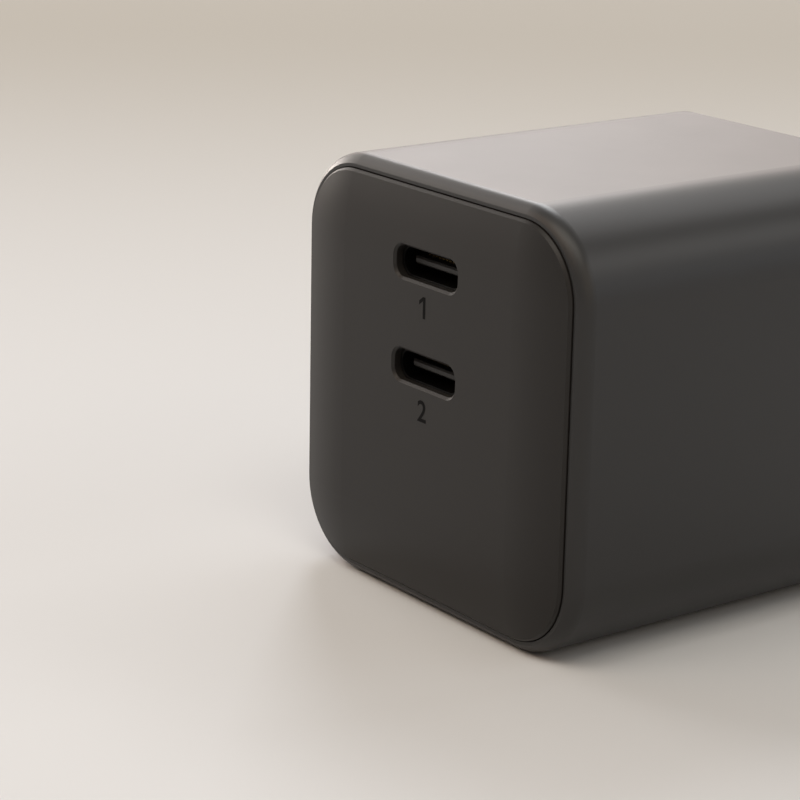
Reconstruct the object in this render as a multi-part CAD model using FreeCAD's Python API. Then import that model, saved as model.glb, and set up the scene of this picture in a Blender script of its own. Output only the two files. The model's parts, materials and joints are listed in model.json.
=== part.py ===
"""Two-port mains power adapter: a square moulded block with a pillowed port panel and a two-pin plug.

Sizes are in millimetres. The block lies on one long side: +Z is up, the ports face -Y and the pins point
to +Y. While the pieces are built, Y is measured from the housing's front rim. On export they are moved so
that the origin lies in the middle of the underside.
"""
import FreeCAD, Part
import math
import os

# Housing
BODY_WIDTH = 40.0
BODY_HEIGHT = 40.0
BODY_DEPTH = 41.8
BODY_CORNER = 7.8
WALL = 1.8
REAR_WALL = 2.0
FRONT_EDGE = 1.7
REAR_EDGE = 0.8
RIM_WIDTH = 1.16
RIM_LAND = 0.3
SEAT_DEPTH = 2.2

# Front panel
PANEL_GAP = 0.1
PANEL_PROUD = 1.2
PANEL_ROLL_DROP = 0.86
PANEL_WALL = 2.0
PANEL_EDGE = 0.22
KEY_GAP = 0.15
KEY_WIDTH = 10.0
KEY_WALL = 1.2
KEY_DEPTH = 2.0

# Port openings in the panel
PORT_RISE = 12.1
PORT_PITCH = 9.5
OPENING_WIDTH = 8.95
OPENING_HEIGHT = 2.88
OPENING_CORNER = 1.1
OPENING_BEVEL = 0.23
PORT_LIP = 0.85
POCKET_PLAY = 0.13
SEAT_GAP = 0.05

# Port receptacles
SHELL_WIDTH = 8.94
SHELL_HEIGHT = 3.16
SHELL_WALL = 0.3
SHELL_DEPTH = 6.95
SHELL_LEG_WIDTH = 0.9
SHELL_LEG_LENGTH = 1.5
SHELL_LEG_SPREAD = 4.4
TONGUE_WIDTH = 6.69
TONGUE_THICK = 0.7
TONGUE_RECESS = 0.5
BASE_THICK = 1.0
BASE_PLAY = 0.03
CONTACTS_PER_ROW = 12
CONTACT_PITCH = 0.5
CONTACT_WIDTH = 0.26
CONTACT_THICK = 0.06
CONTACT_SETBACK = 1.2

# Plug
BOSS_WIDTH = 35.3
BOSS_HEIGHT = 13.7
BOSS_CUT = 4.6
BOSS_DEPTH = 17.0
BOSS_WALL = 1.8
BOSS_CORNER = 1.5
BOSS_EDGE = 1.0
PIN_SPACING = 18.6
PIN_RADIUS = 2.0
PIN_LENGTH = 19.0
PIN_NOSE_RADIUS = 1.1
PIN_NOSE_LENGTH = 1.2
PIN_BAR_WIDTH = 2.0
PIN_TAIL_REACH = 0.8
COLLAR_WIDTH = 5.0
COLLAR_THICK = 1.2
SLEEVE_RADIUS = 1.75
SLEEVE_LENGTH = 10.0
SLEEVE_PLAY = 0.03
BORE_PLAY = 0.05
CARRIER_THICK = 5.0
CARRIER_PLAY = 0.1

# Boards
BOARD_THICK = 1.2
BOARD_LIFT = 2.4
BOARD_SIDE_GAP = 0.7
BOARD_END_GAP = 0.3
CARD_THICK = 1.0
CARD_SIDE_GAP = 2.3
CARD_TOP_GAP = 2.2
CARD_REAR_GAP = 1.2
TAB_WIDTH = 3.0
TAB_SPREAD = 20.0
TAB_REACH = 1.5
SLOT_PLAY = 0.1
RAIL_GRIP = 1.2
RAIL_THICK = 1.2
RAIL_PLAY = 0.1
RAIL_START = 0.6
RAIL_CLEAR = 0.4

# Mains side parts
LEAD_WIDTH = 0.6
LEAD_REACH = 0.7
LEAD_PLAY = 0.1
BULK_RADIUS = 6.25
BULK_LENGTH = 20.0
BULK_SPREAD = 14.4
BULK_DROP = 8.4
BULK_LEAD_PITCH = 5.0
FUSE_WIDTH = 8.0
FUSE_HEIGHT = 4.0
FUSE_DEPTH = 6.0
FUSE_LEAD_PITCH = 5.0
FILM_WIDTH = 12.5
FILM_DEPTH = 5.0
FILM_HEIGHT = 9.5
FILM_LEAD_PITCH = 10.0
CHOKE_WIDTH = 10.5
CHOKE_HEIGHT = 9.5
CHOKE_DEPTH = 4.0
CHOKE_LEG = 2.4
WIRE_BUILD = 0.75
WINDING_PLAY = 0.05
CHIP_THICK = 1.0
BRIDGE_SIZE = 7.0
BRIDGE_OFFSET = 3.0
SWITCH_SIZE = 6.0
RECTIFIER_SIZE = 5.0

# Transformer
CORE_WIDTH = 20.0
CORE_DEPTH = 7.0
CORE_PLATE = 2.4
CORE_LEG = 3.0
CORE_POST_WIDTH = 5.5
CORE_WINDOW = 8.4
CORE_LIFT = 0.8
BOBBIN_PLAY = 0.12
BOBBIN_WALL = 0.7
BOBBIN_RAIL = 2.6
BOBBIN_PINS = 3
BOBBIN_PIN_PITCH = 4.0
WINDING_BUILD = 1.9
WINDING_CORNER = 1.5

# Output side parts
OUTPUT_RADIUS = 3.15
OUTPUT_HEIGHT = 11.0
OUTPUT_LEAD_PITCH = 2.5
OUTPUT_SPREAD = 7.0
ROW_GAP = 0.8
OPTO_WIDTH = 4.6
OPTO_DEPTH = 6.0
OPTO_HEIGHT = 3.0
SAFETY_WIDTH = 7.0
SAFETY_DEPTH = 4.0
SAFETY_HEIGHT = 6.5
SAFETY_LEAD_PITCH = 5.0
BARRIER_THICK = 0.3
BARRIER_HEIGHT = 15.0
INDUCTOR_SIZE = 7.0
INDUCTOR_THICK = 3.2
INDUCTOR_CHAMFER = 0.8
INDUCTOR_SPREAD = 11.0
INDUCTOR_DROP = 10.7
CONTROLLER_SIZE = 4.0
CONTROLLER_THICK = 0.9
CONTROLLER_DROP = 4.6

# Cooling
SPREADER_THICK = 0.5
SPREADER_SIDE_GAP = 1.7
SPREADER_LENGTH = 27.0
PAD_INSET = 2.5
PAD_LENGTH = 25.0

# Levels and stations that follow from the sizes above
MID_Z = BODY_HEIGHT / 2
CEILING_Z = BODY_HEIGHT - WALL
BACK_Y = BODY_DEPTH - REAR_WALL
PANEL_FRONT_Y = -PANEL_PROUD
PANEL_INSET = RIM_WIDTH + PANEL_GAP
PANEL_CORNER = BODY_CORNER - PANEL_INSET
PANEL_EDGE_Y = PANEL_FRONT_Y + PANEL_ROLL_DROP
PANEL_ROLL = (PANEL_CORNER ** 2 + PANEL_ROLL_DROP ** 2) / (2 * PANEL_ROLL_DROP)
RIM_TURN = math.acos(1 - (RIM_WIDTH - RIM_LAND) / FRONT_EDGE)
RIM_CUT = FRONT_EDGE * (1 - math.sin(RIM_TURN))
KEY_END_Y = SEAT_DEPTH + KEY_DEPTH
POCKET_Y = PANEL_FRONT_Y + PORT_LIP
MOUTH_Y = POCKET_Y + SEAT_GAP
PORT_CARD_Y = MOUTH_Y + SHELL_DEPTH
PORT_CARD_BACK_Y = PORT_CARD_Y + CARD_THICK
PORT_1_Z = MID_Z + PORT_RISE
PORT_2_Z = PORT_1_Z - PORT_PITCH
INPUT_CARD_BACK_Y = BACK_Y - CARD_REAR_GAP
INPUT_CARD_Y = INPUT_CARD_BACK_Y - CARD_THICK
BOARD_Z = WALL + BOARD_LIFT
BOARD_TOP_Z = BOARD_Z + BOARD_THICK
FLAT_HALF_WIDTH = BODY_WIDTH / 2 - BODY_CORNER
CORNER_DROP = max(BODY_CORNER - BOARD_Z, 0.0)
CORNER_REACH = math.sqrt((BODY_CORNER - WALL) ** 2 - CORNER_DROP ** 2)
BOARD_HALF_WIDTH = FLAT_HALF_WIDTH + CORNER_REACH - BOARD_SIDE_GAP
CARD_HALF_WIDTH = BOARD_HALF_WIDTH - CARD_SIDE_GAP
GRIP_X = BOARD_HALF_WIDTH - RAIL_GRIP
PART_X = GRIP_X - RAIL_CLEAR
BOARD_Y = KEY_END_Y + RAIL_START
BOARD_BACK_Y = BACK_Y - BOARD_END_GAP
CARD_TOP_Z = CEILING_Z - CARD_TOP_GAP
BOSS_END_Y = BODY_DEPTH + BOSS_DEPTH
BOSS_FLOOR_Y = BOSS_END_Y - BOSS_WALL
CARRIER_BACK_Y = BOSS_FLOOR_Y - COLLAR_THICK
OUTPUT_Y = PORT_CARD_BACK_Y + ROW_GAP + OUTPUT_RADIUS
BARRIER_Y = OUTPUT_Y + OUTPUT_RADIUS + ROW_GAP / 2
BOBBIN_DEPTH = CORE_DEPTH + 2 * (BOBBIN_RAIL + BOBBIN_PLAY)
TRANSFORMER_Y = BARRIER_Y + BARRIER_THICK + ROW_GAP / 2 + BOBBIN_DEPTH / 2
CORE_Z = BOARD_TOP_Z + CORE_LIFT
BOBBIN_Z = CORE_Z + CORE_PLATE
BOBBIN_TOP_Z = BOBBIN_Z + CORE_WINDOW - BOBBIN_PLAY
FILTER_Y = TRANSFORMER_Y + BOBBIN_DEPTH / 2 + ROW_GAP + FILM_DEPTH / 2
BULK_Z = CEILING_Z - BULK_DROP
FILM_X = FILM_WIDTH / 2 - PART_X
CHOKE_X = PART_X - CHOKE_WIDTH / 2 - WINDING_PLAY - WIRE_BUILD
OUTPUT_X = OUTPUT_SPREAD / 2 + OUTPUT_RADIUS - PART_X
SAFETY_X = PART_X - SAFETY_WIDTH / 2
OPTO_X = (OUTPUT_X + OUTPUT_SPREAD / 2 + OUTPUT_RADIUS + SAFETY_X - SAFETY_WIDTH / 2) / 2
CHIP_Z = BOARD_Z - CHIP_THICK
PAD_Z = WALL + SPREADER_THICK
SPREADER_HALF_WIDTH = FLAT_HALF_WIDTH - SPREADER_SIDE_GAP
PAD_HALF_WIDTH = SPREADER_HALF_WIDTH - PAD_INSET


def vec(x, y, z):
    """Point or direction."""
    return FreeCAD.Vector(x, y, z)


def box(x0, x1, y0, y1, z0, z1):
    """Block between two corners."""
    return Part.makeBox(x1 - x0, y1 - y0, z1 - z0, vec(x0, y0, z0))


def rod(radius, start, end):
    """Round bar between two points."""
    run = end.sub(start)
    return Part.makeCylinder(radius, run.Length, start, run)


def arc_edge(x, z, y, radius, start_deg):
    """Quarter circle in a plane of constant Y."""
    points = []
    for step in (0.0, 45.0, 90.0):
        angle = math.radians(start_deg + step)
        points.append(vec(x + radius * math.cos(angle), y, z + radius * math.sin(angle)))
    return Part.Arc(points[0], points[1], points[2]).toShape(), points[0], points[2]


def round_rect(width, height, radius, y, x=0.0, z=0.0):
    """Closed outline of a rectangle with round corners, in a plane of constant Y."""
    run_x = width / 2 - radius
    run_z = height / 2 - radius
    corners = [
        arc_edge(x + run_x, z - run_z, y, radius, -90.0),
        arc_edge(x + run_x, z + run_z, y, radius, 0.0),
        arc_edge(x - run_x, z + run_z, y, radius, 90.0),
        arc_edge(x - run_x, z - run_z, y, radius, 180.0),
    ]
    edges = []
    for index, corner in enumerate(corners):
        following = corners[(index + 1) % 4]
        edges.append(corner[0])
        if corner[2].distanceToPoint(following[1]) > 1e-6:
            edges.append(Part.makeLine(corner[2], following[1]))
    return Part.Wire(edges)


def bar(width, height, radius, y0, y1, x=0.0, z=0.0):
    """Round-cornered bar that runs along Y."""
    face = Part.Face(round_rect(width, height, radius, y0, x, z))
    return face.extrude(vec(0, y1 - y0, 0))


def boss_bar(inset, y0, y1):
    """Bar with the flattened eight-sided outline of the plug, taken in by an inset."""
    half_w = BOSS_WIDTH / 2 - inset
    half_h = BOSS_HEIGHT / 2 - inset
    cut = BOSS_CUT - inset * (2 - math.sqrt(2))
    corners = [
        (half_w, half_h - cut),
        (half_w - cut, half_h),
        (cut - half_w, half_h),
        (-half_w, half_h - cut),
        (-half_w, cut - half_h),
        (cut - half_w, -half_h),
        (half_w - cut, -half_h),
        (half_w, cut - half_h),
    ]
    points = [vec(x, y0, MID_Z + z) for x, z in corners]
    points.append(points[0])
    return Part.Face(Part.makePolygon(points)).extrude(vec(0, y1 - y0, 0))


def edges_at_y(shape, y):
    """Edges that lie in one plane of constant Y."""
    found = []
    for edge in shape.Edges:
        bound = edge.BoundBox
        if bound.YMin > y - 1e-3 and bound.YMax < y + 1e-3:
            found.append(edge)
    return found


def edges_along_y(shape):
    """Straight edges that run along Y."""
    found = []
    for edge in shape.Edges:
        bound = edge.BoundBox
        if bound.XLength < 1e-3 and bound.ZLength < 1e-3:
            found.append(edge)
    return found


def one_solid(shape):
    """The single solid of a finished shape, with its split faces joined."""
    clean = shape.removeSplitter()
    return clean.Solids[0]


def pin_x(side):
    """Middle of the plug pin on one side."""
    return side * PIN_SPACING / 2


def tab_x(side):
    """Middle of a card's solder tab on one side."""
    return side * TAB_SPREAD / 2


def lead_pair(pitch, x):
    """Positions of two leads about a middle."""
    return [x - pitch / 2, x + pitch / 2]


def plug_boss():
    """Outside of the plug boss, round on its long edges and bevelled at its end."""
    boss = boss_bar(0.0, BODY_DEPTH - REAR_WALL / 2, BOSS_END_Y)
    boss = boss.makeFillet(BOSS_CORNER, edges_along_y(boss))
    return boss.makeChamfer(BOSS_EDGE, edges_at_y(boss, BOSS_END_Y))


def board_rails():
    """Ribs inside both side walls that hold the main board by its edges."""
    inside = bar(BODY_WIDTH - WALL, BODY_HEIGHT - WALL, BODY_CORNER - WALL / 2, 0.0, BODY_DEPTH, z=MID_Z)
    far = BODY_WIDTH / 2
    top = BOARD_TOP_Z + RAIL_PLAY
    end = BACK_Y + REAR_WALL / 2
    rails = []
    for x0, x1 in ((-far, -GRIP_X), (GRIP_X, far)):
        rails.append(box(x0, x1, BOARD_Y, end, 0.0, BOARD_Z).common(inside))
        rails.append(box(x0, x1, BOARD_Y, end, top, top + RAIL_THICK).common(inside))
    return rails


def housing():
    """Moulded bucket: square with round long edges, open at the rim, closed by the plug boss."""
    body = bar(BODY_WIDTH, BODY_HEIGHT, BODY_CORNER, -RIM_CUT, BODY_DEPTH, z=MID_Z)
    body = body.makeFillet(FRONT_EDGE, edges_at_y(body, -RIM_CUT))
    body = body.makeChamfer(REAR_EDGE, edges_at_y(body, BODY_DEPTH))
    body = body.fuse(plug_boss())
    body = body.cut(box(-BODY_WIDTH, BODY_WIDTH, -FRONT_EDGE, 0.0, -1.0, BODY_HEIGHT + 1.0))
    rim_w = BODY_WIDTH - 2 * RIM_WIDTH
    rim_h = BODY_HEIGHT - 2 * RIM_WIDTH
    body = body.cut(bar(rim_w, rim_h, BODY_CORNER - RIM_WIDTH, -1.0, SEAT_DEPTH, z=MID_Z))
    inner_w = BODY_WIDTH - 2 * WALL
    inner_h = BODY_HEIGHT - 2 * WALL
    body = body.cut(bar(inner_w, inner_h, BODY_CORNER - WALL, SEAT_DEPTH / 2, BACK_Y, z=MID_Z))
    body = body.cut(boss_bar(BOSS_WALL, BACK_Y - REAR_WALL, BOSS_FLOOR_Y))
    for side in (-1, 1):
        start = vec(pin_x(side), BOSS_FLOOR_Y - BOSS_WALL, MID_Z)
        end = vec(pin_x(side), BOSS_END_Y + BOSS_WALL, MID_Z)
        body = body.cut(rod(SLEEVE_RADIUS + BORE_PLAY, start, end))
    body = body.fuse(board_rails())
    return one_solid(body)


def port_opening(z):
    """Opening for one port: bevelled mouth, straight wall and a pocket behind for the shell."""
    mouth_w = OPENING_WIDTH + 2 * OPENING_BEVEL
    mouth_h = OPENING_HEIGHT + 2 * OPENING_BEVEL
    mouth_r = OPENING_CORNER + OPENING_BEVEL
    bevel_y = PANEL_FRONT_Y + OPENING_BEVEL
    wide = round_rect(mouth_w, mouth_h, mouth_r, PANEL_FRONT_Y, z=z)
    narrow = round_rect(OPENING_WIDTH, OPENING_HEIGHT, OPENING_CORNER, bevel_y, z=z)
    bevel = Part.makeLoft([wide, narrow], True, True)
    wall = bar(OPENING_WIDTH, OPENING_HEIGHT, OPENING_CORNER, bevel_y, POCKET_Y, z=z)
    pocket_w = SHELL_WIDTH + 2 * POCKET_PLAY
    pocket_h = SHELL_HEIGHT + 2 * POCKET_PLAY
    pocket = bar(pocket_w, pocket_h, pocket_h / 2, POCKET_Y, KEY_END_Y, z=z)
    return [bevel, wall, pocket]


def panel_corner(x, z, side, end):
    """Corner of the panel block: a quarter of a round post under a spherical face."""
    x0, x1 = sorted((x, x + side * PANEL_CORNER))
    z0, z1 = sorted((z, z + end * PANEL_CORNER))
    post = rod(PANEL_CORNER, vec(x, PANEL_FRONT_Y, z), vec(x, SEAT_DEPTH, z))
    post = post.common(box(x0, x1, PANEL_FRONT_Y, SEAT_DEPTH, z0, z1))
    return post.common(Part.makeSphere(PANEL_ROLL, vec(x, PANEL_FRONT_Y + PANEL_ROLL, z)))


def pillow():
    """Panel block with a flat middle and a rolled border of even width along its sides and corners."""
    half_w = BODY_WIDTH / 2 - PANEL_INSET - PANEL_CORNER
    half_h = BODY_HEIGHT / 2 - PANEL_INSET - PANEL_CORNER
    axis_y = PANEL_FRONT_Y + PANEL_ROLL
    low = MID_Z - half_h
    high = MID_Z + half_h
    block = box(-half_w, half_w, PANEL_FRONT_Y, SEAT_DEPTH, low, high)
    borders = []
    for side in (-1, 1):
        x = side * half_w
        x0, x1 = sorted((x, x + side * PANEL_CORNER))
        roll = rod(PANEL_ROLL, vec(x, axis_y, low), vec(x, axis_y, high))
        borders.append(roll.common(box(x0, x1, PANEL_FRONT_Y, SEAT_DEPTH, low, high)))
        z = MID_Z + side * half_h
        z0, z1 = sorted((z, z + side * PANEL_CORNER))
        roll = rod(PANEL_ROLL, vec(-half_w, axis_y, z), vec(half_w, axis_y, z))
        borders.append(roll.common(box(-half_w, half_w, PANEL_FRONT_Y, SEAT_DEPTH, z0, z1)))
        for end in (-1, 1):
            borders.append(panel_corner(x, MID_Z + end * half_h, side, end))
    return block.fuse(borders).removeSplitter()


def panel_keys():
    """Ribs behind the panel, one on each side, that centre it inside the housing's walls."""
    half = KEY_WIDTH / 2
    reach_x = BODY_WIDTH / 2 - WALL - KEY_GAP
    reach_z = BODY_HEIGHT / 2 - WALL - KEY_GAP
    start = SEAT_DEPTH / 2
    keys = []
    for side in (-1, 1):
        x0, x1 = sorted((side * reach_x, side * (reach_x - KEY_WALL)))
        z0, z1 = sorted((MID_Z + side * reach_z, MID_Z + side * (reach_z - KEY_WALL)))
        keys.append(box(x0, x1, start, KEY_END_Y, MID_Z - half, MID_Z + half))
        keys.append(box(-half, half, start, KEY_END_Y, z0, z1))
    return keys


def front_panel():
    """Panel with a pillowed face that stands proud of the rim, a hollow back and four keys."""
    panel = pillow()
    panel = panel.makeChamfer(PANEL_EDGE, edges_at_y(panel, PANEL_EDGE_Y))
    hollow = 2 * (WALL + KEY_GAP + KEY_WALL)
    inner_y = PANEL_FRONT_Y + PANEL_WALL
    hollow_r = BODY_CORNER - hollow / 2
    panel = panel.cut(bar(BODY_WIDTH - hollow, BODY_HEIGHT - hollow, hollow_r, inner_y, KEY_END_Y, z=MID_Z))
    panel = panel.fuse(panel_keys())
    for z in (PORT_1_Z, PORT_2_Z):
        panel = panel.cut(port_opening(z))
    return one_solid(panel)


def shell_legs(z, grow):
    """Solder legs of one port shell, or the slots for them when grown."""
    legs = []
    half = SHELL_LEG_WIDTH / 2 + grow
    outer = SHELL_HEIGHT / 2 + grow
    inner = SHELL_HEIGHT / 2 - SHELL_WALL - grow
    for x in (-SHELL_LEG_SPREAD / 2, SHELL_LEG_SPREAD / 2):
        end = PORT_CARD_Y + SHELL_LEG_LENGTH
        legs.append(box(x - half, x + half, PORT_CARD_Y, end, z + inner, z + outer))
        legs.append(box(x - half, x + half, PORT_CARD_Y, end, z - outer, z - inner))
    return legs


def port_shell(z):
    """Stamped steel tube of one port, with four legs through the port board."""
    tube = bar(SHELL_WIDTH, SHELL_HEIGHT, SHELL_HEIGHT / 2, MOUTH_Y, PORT_CARD_Y, z=z)
    bore_w = SHELL_WIDTH - 2 * SHELL_WALL
    bore_h = SHELL_HEIGHT - 2 * SHELL_WALL
    tube = tube.cut(bar(bore_w, bore_h, bore_h / 2, MOUTH_Y - 0.5, PORT_CARD_Y + 0.5, z=z))
    return one_solid(tube.fuse(shell_legs(z, 0.0)))


def port_tongue(z):
    """Moulded base that closes the shell's rear, with the tongue that carries the contacts."""
    width = SHELL_WIDTH - 2 * SHELL_WALL - 2 * BASE_PLAY
    height = SHELL_HEIGHT - 2 * SHELL_WALL - 2 * BASE_PLAY
    base_y = PORT_CARD_Y - BASE_THICK
    base = bar(width, height, height / 2, base_y, PORT_CARD_Y, z=z)
    half_w = TONGUE_WIDTH / 2
    half_t = TONGUE_THICK / 2
    tongue = box(-half_w, half_w, MOUTH_Y + TONGUE_RECESS, base_y + BASE_THICK / 2, z - half_t, z + half_t)
    tip = edges_at_y(tongue, MOUTH_Y + TONGUE_RECESS)
    tongue = tongue.makeChamfer(TONGUE_THICK / 4, tip)
    return one_solid(base.fuse(tongue))


def port_contacts(z):
    """Two rows of flat contacts on the faces of one tongue."""
    start = MOUTH_Y + TONGUE_RECESS + CONTACT_SETBACK
    end = PORT_CARD_Y - BASE_THICK
    face = TONGUE_THICK / 2
    first = -CONTACT_PITCH * (CONTACTS_PER_ROW - 1) / 2
    strips = []
    for index in range(CONTACTS_PER_ROW):
        x = first + index * CONTACT_PITCH
        x0 = x - CONTACT_WIDTH / 2
        x1 = x + CONTACT_WIDTH / 2
        strips.append(box(x0, x1, start, end, z + face, z + face + CONTACT_THICK))
        strips.append(box(x0, x1, start, end, z - face - CONTACT_THICK, z - face))
    return Part.makeCompound(strips)


def card_tabs(y, grow):
    """Solder tabs under an upright card, or the slots for them when grown."""
    tabs = []
    half = TAB_WIDTH / 2 + grow
    low = BOARD_TOP_Z - BOARD_THICK - TAB_REACH
    for side in (-1, 1):
        x = tab_x(side)
        tabs.append(box(x - half, x + half, y - grow, y + CARD_THICK + grow, low, BOARD_TOP_Z))
    return tabs


def upright_card(y):
    """Upright circuit card that stands on the main board by two tabs."""
    card = box(-CARD_HALF_WIDTH, CARD_HALF_WIDTH, y, y + CARD_THICK, BOARD_TOP_Z, CARD_TOP_Z)
    return card.fuse(card_tabs(y, 0.0))


def port_board():
    """Card behind the panel that carries both ports."""
    card = upright_card(PORT_CARD_Y)
    for z in (PORT_1_Z, PORT_2_Z):
        card = card.cut(shell_legs(z, SLOT_PLAY))
    return one_solid(card)


def card_lead(x, z, y0, y1, grow):
    """Square lead through the input board, or the opening for it when grown."""
    half = LEAD_WIDTH / 2 + grow
    return box(x - half, x + half, y0, y1, z - half, z + half)


def card_slot(x, z):
    """Opening in the input board for one lead."""
    return card_lead(x, z, INPUT_CARD_Y - 0.5, INPUT_CARD_BACK_Y + 0.5, LEAD_PLAY)


def input_board():
    """Card at the rear that takes the pin tails, the fuse and the bulk capacitors."""
    card = upright_card(INPUT_CARD_Y)
    for side in (-1, 1):
        card = card.cut(pin_bar(side, PIN_BAR_WIDTH + 2 * LEAD_PLAY, INPUT_CARD_Y, INPUT_CARD_BACK_Y))
        for x in lead_pair(BULK_LEAD_PITCH, side * BULK_SPREAD / 2):
            card = card.cut(card_slot(x, BULK_Z))
    for x in lead_pair(FUSE_LEAD_PITCH, 0.0):
        card = card.cut(card_slot(x, MID_Z))
    return one_solid(card)


def board_slot(x, y):
    """Opening in the main board for one lead."""
    half = LEAD_WIDTH / 2 + LEAD_PLAY
    return box(x - half, x + half, y - half, y + half, BOARD_Z - 0.5, BOARD_TOP_Z + 0.5)


def board_lead(x, y, top):
    """Square lead that stands in the main board."""
    half = LEAD_WIDTH / 2
    return box(x - half, x + half, y - half, y + half, BOARD_Z - LEAD_REACH, top)


def bobbin_pin_spots():
    """Positions of the bobbin pins on the main board."""
    spots = []
    first = -BOBBIN_PIN_PITCH * (BOBBIN_PINS - 1) / 2
    reach = BOBBIN_DEPTH / 2 - BOBBIN_RAIL / 2
    for index in range(BOBBIN_PINS):
        x = first + index * BOBBIN_PIN_PITCH
        spots.append((x, TRANSFORMER_Y - reach))
        spots.append((x, TRANSFORMER_Y + reach))
    return spots


def output_x(side):
    """Middle of one output capacitor."""
    return OUTPUT_X + side * OUTPUT_SPREAD / 2


def main_board():
    """Board along the underside, with openings for the cards and the leads."""
    board = box(-BOARD_HALF_WIDTH, BOARD_HALF_WIDTH, BOARD_Y, BOARD_BACK_Y, BOARD_Z, BOARD_TOP_Z)
    board = board.cut(card_tabs(PORT_CARD_Y, SLOT_PLAY))
    board = board.cut(card_tabs(INPUT_CARD_Y, SLOT_PLAY))
    spots = bobbin_pin_spots()
    for side in (-1, 1):
        for x in lead_pair(OUTPUT_LEAD_PITCH, output_x(side)):
            spots.append((x, OUTPUT_Y))
    for x in lead_pair(FILM_LEAD_PITCH, FILM_X):
        spots.append((x, FILTER_Y))
    for x in lead_pair(SAFETY_LEAD_PITCH, SAFETY_X):
        spots.append((x, OUTPUT_Y))
    for x, y in spots:
        board = board.cut(board_slot(x, y))
    return one_solid(board)


def pin_bar(side, width, y0, y1):
    """Square bar on the axis of one pin."""
    half = width / 2
    x = pin_x(side)
    return box(x - half, x + half, y0, y1, MID_Z - half, MID_Z + half)


def plug_pin(side):
    """Square bar from the input board through a collar, with a round contact end and a tapered tip."""
    x = pin_x(side)
    neck_end = BOSS_END_Y + SLEEVE_LENGTH
    nose_y = BOSS_END_Y + PIN_LENGTH - PIN_NOSE_LENGTH
    contact = rod(PIN_RADIUS, vec(x, neck_end, MID_Z), vec(x, nose_y, MID_Z))
    nose = Part.makeCone(PIN_RADIUS, PIN_NOSE_RADIUS, PIN_NOSE_LENGTH, vec(x, nose_y, MID_Z), vec(0, 1, 0))
    collar = pin_bar(side, COLLAR_WIDTH, CARRIER_BACK_Y, BOSS_FLOOR_Y)
    stem = pin_bar(side, PIN_BAR_WIDTH, INPUT_CARD_Y - PIN_TAIL_REACH, neck_end)
    return one_solid(contact.fuse([nose, collar, stem]))


def pin_sleeve(side):
    """Insulating sleeve on one pin's bar, set through the end of the boss."""
    x = pin_x(side)
    end_y = BOSS_END_Y + SLEEVE_LENGTH
    sleeve = rod(SLEEVE_RADIUS, vec(x, BOSS_FLOOR_Y, MID_Z), vec(x, end_y, MID_Z))
    return one_solid(sleeve.cut(pin_bar(side, PIN_BAR_WIDTH + 2 * SLEEVE_PLAY, BOSS_FLOOR_Y, end_y)))


def pin_carrier():
    """Block inside the boss that holds both pins by their bars and traps their collars."""
    front_y = CARRIER_BACK_Y - CARRIER_THICK
    block = boss_bar(BOSS_WALL + CARRIER_PLAY, front_y, CARRIER_BACK_Y)
    for side in (-1, 1):
        block = block.cut(pin_bar(side, PIN_BAR_WIDTH + 2 * BORE_PLAY, front_y, CARRIER_BACK_Y))
    return one_solid(block)


def fuse():
    """Block fuse behind the input board, between the pin tails."""
    half_w = FUSE_WIDTH / 2
    half_h = FUSE_HEIGHT / 2
    y = INPUT_CARD_BACK_Y
    body = box(-half_w, half_w, y, y + FUSE_DEPTH, MID_Z - half_h, MID_Z + half_h)
    start_y = INPUT_CARD_Y - LEAD_REACH
    leads = [card_lead(x, MID_Z, start_y, y, 0.0) for x in lead_pair(FUSE_LEAD_PITCH, 0.0)]
    return one_solid(body.fuse(leads))


def bulk_capacitor(side):
    """Lying can with its base on the input board."""
    x = side * BULK_SPREAD / 2
    top_y = INPUT_CARD_Y - BULK_LENGTH
    can = rod(BULK_RADIUS, vec(x, top_y, BULK_Z), vec(x, INPUT_CARD_Y, BULK_Z))
    end_y = INPUT_CARD_BACK_Y + LEAD_REACH
    spots = lead_pair(BULK_LEAD_PITCH, x)
    leads = [card_lead(spot, BULK_Z, INPUT_CARD_Y, end_y, 0.0) for spot in spots]
    return one_solid(can.fuse(leads))


def x_capacitor():
    """Boxed film capacitor across the mains."""
    half_w = FILM_WIDTH / 2
    half_d = FILM_DEPTH / 2
    top = BOARD_TOP_Z + FILM_HEIGHT
    x0 = FILM_X - half_w
    body = box(x0, x0 + FILM_WIDTH, FILTER_Y - half_d, FILTER_Y + half_d, BOARD_TOP_Z, top)
    leads = [board_lead(lead_x, FILTER_Y, BOARD_TOP_Z) for lead_x in lead_pair(FILM_LEAD_PITCH, FILM_X)]
    return one_solid(body.fuse(leads))


def choke_core():
    """Closed rectangular core that stands on the main board."""
    half_w = CHOKE_WIDTH / 2
    half_d = CHOKE_DEPTH / 2
    top = BOARD_TOP_Z + CHOKE_HEIGHT
    x0 = CHOKE_X - half_w
    x1 = CHOKE_X + half_w
    frame = box(x0, x1, FILTER_Y - half_d, FILTER_Y + half_d, BOARD_TOP_Z, top)
    window = box(x0 + CHOKE_LEG, x1 - CHOKE_LEG, FILTER_Y - CHOKE_DEPTH, FILTER_Y + CHOKE_DEPTH,
                 BOARD_TOP_Z + CHOKE_LEG, top - CHOKE_LEG)
    return one_solid(frame.cut(window))


def leg_block(x, grow, z0, z1):
    """Block round one upright leg of the choke core, grown on all four sides."""
    half_x = CHOKE_LEG / 2 + grow
    half_y = CHOKE_DEPTH / 2 + grow
    return box(x - half_x, x + half_x, FILTER_Y - half_y, FILTER_Y + half_y, z0, z1)


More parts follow.
